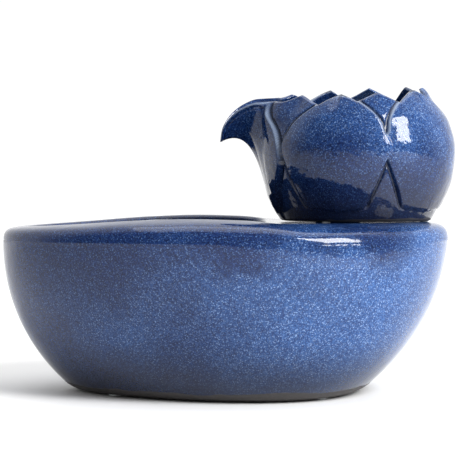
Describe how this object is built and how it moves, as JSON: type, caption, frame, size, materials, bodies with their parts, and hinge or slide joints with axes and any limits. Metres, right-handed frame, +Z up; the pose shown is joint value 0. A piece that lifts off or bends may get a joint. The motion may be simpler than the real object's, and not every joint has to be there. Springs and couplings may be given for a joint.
{
  "type": "tabletop fountain with submersible pump",
  "caption": "Glazed ceramic pet fountain: egg-shaped basin, lotus-flower bowl with a beak spout on its deck, and a submersible pump under the deck.",
  "frame": {"origin": "centre of the bounding box's bottom face, on the plane that the foot pads stand on", "axes": "+X from the pool end to the deck end under the lotus bowl, +Y to the back where the cord leaves, +Z up"},
  "size_m": [0.2603, 0.1986, 0.176],
  "materials": {
    "glaze": "glossy speckled blue reactive glaze",
    "clear_silicone": "translucent silicone",
    "black_rubber": "matte moulded rubber",
    "black_plastic": "moulded ABS, fine grain",
    "blue_plastic": "moulded ABS, satin",
    "lamination_steel": "stacked laminations",
    "white_nylon": "moulded nylon, satin",
    "copper_wire": "enamelled copper winding",
    "resin": "cast epoxy",
    "shaft_ceramic": "polished alumina",
    "ferrite": "sintered ferrite",
    "foam": "open-cell foam"
  },
  "bodies": {
    "fountain": {"basin": "glaze", "basin_deck": "glaze", "foot_pads": "clear_silicone", "cord_grommet": "black_rubber", "deck_grommet": "black_rubber", "pump_housing": "black_plastic", "stator_core": "lamination_steel", "coil_bobbin": "white_nylon", "stator_coil": "copper_wire", "potting_resin": "resin", "cable_gland": "black_rubber", "rear_bush": "black_rubber", "front_bush": "black_rubber", "rotor_shaft": "shaft_ceramic", "volute_cover": "black_plastic", "volute_seal": "black_rubber", "suction_cups": "clear_silicone"},
    "rotor": {"impeller": "white_nylon", "rotor_magnet": "ferrite"},
    "strainer": {"intake_cover": "black_plastic", "prefilter_sponge": "foam"},
    "dial": {"flow_dial": "blue_plastic"},
    "bowl": {"lotus_bowl": "glaze", "bowl_pads": "clear_silicone", "outlet_fitting": "white_nylon", "outlet_nut": "white_nylon", "upper_washer": "black_rubber", "lower_washer": "black_rubber", "outlet_cap": "white_nylon", "riser_hose": "clear_silicone"}
  },
  "joints": [
    {"name": "bowl_lift", "type": "slide", "parent": "fountain", "child": "bowl", "axis": [0, 0, 1], "range_m": [0, 0.1]},
    {"name": "impeller_spin", "type": "hinge", "parent": "fountain", "child": "rotor", "pos_m": [0.054, 0, 0.042], "axis": [0, 1, 0], "continuous": true},
    {"name": "strainer_pull", "type": "slide", "parent": "fountain", "child": "strainer", "axis": [0, -1, 0], "range_m": [0, 0.018]},
    {"name": "flow_dial_turn", "type": "hinge", "parent": "strainer", "child": "dial", "pos_m": [0.054, -0.0255, 0.042], "axis": [0, 1, 0], "range_deg": [0, 45]}
  ]
}
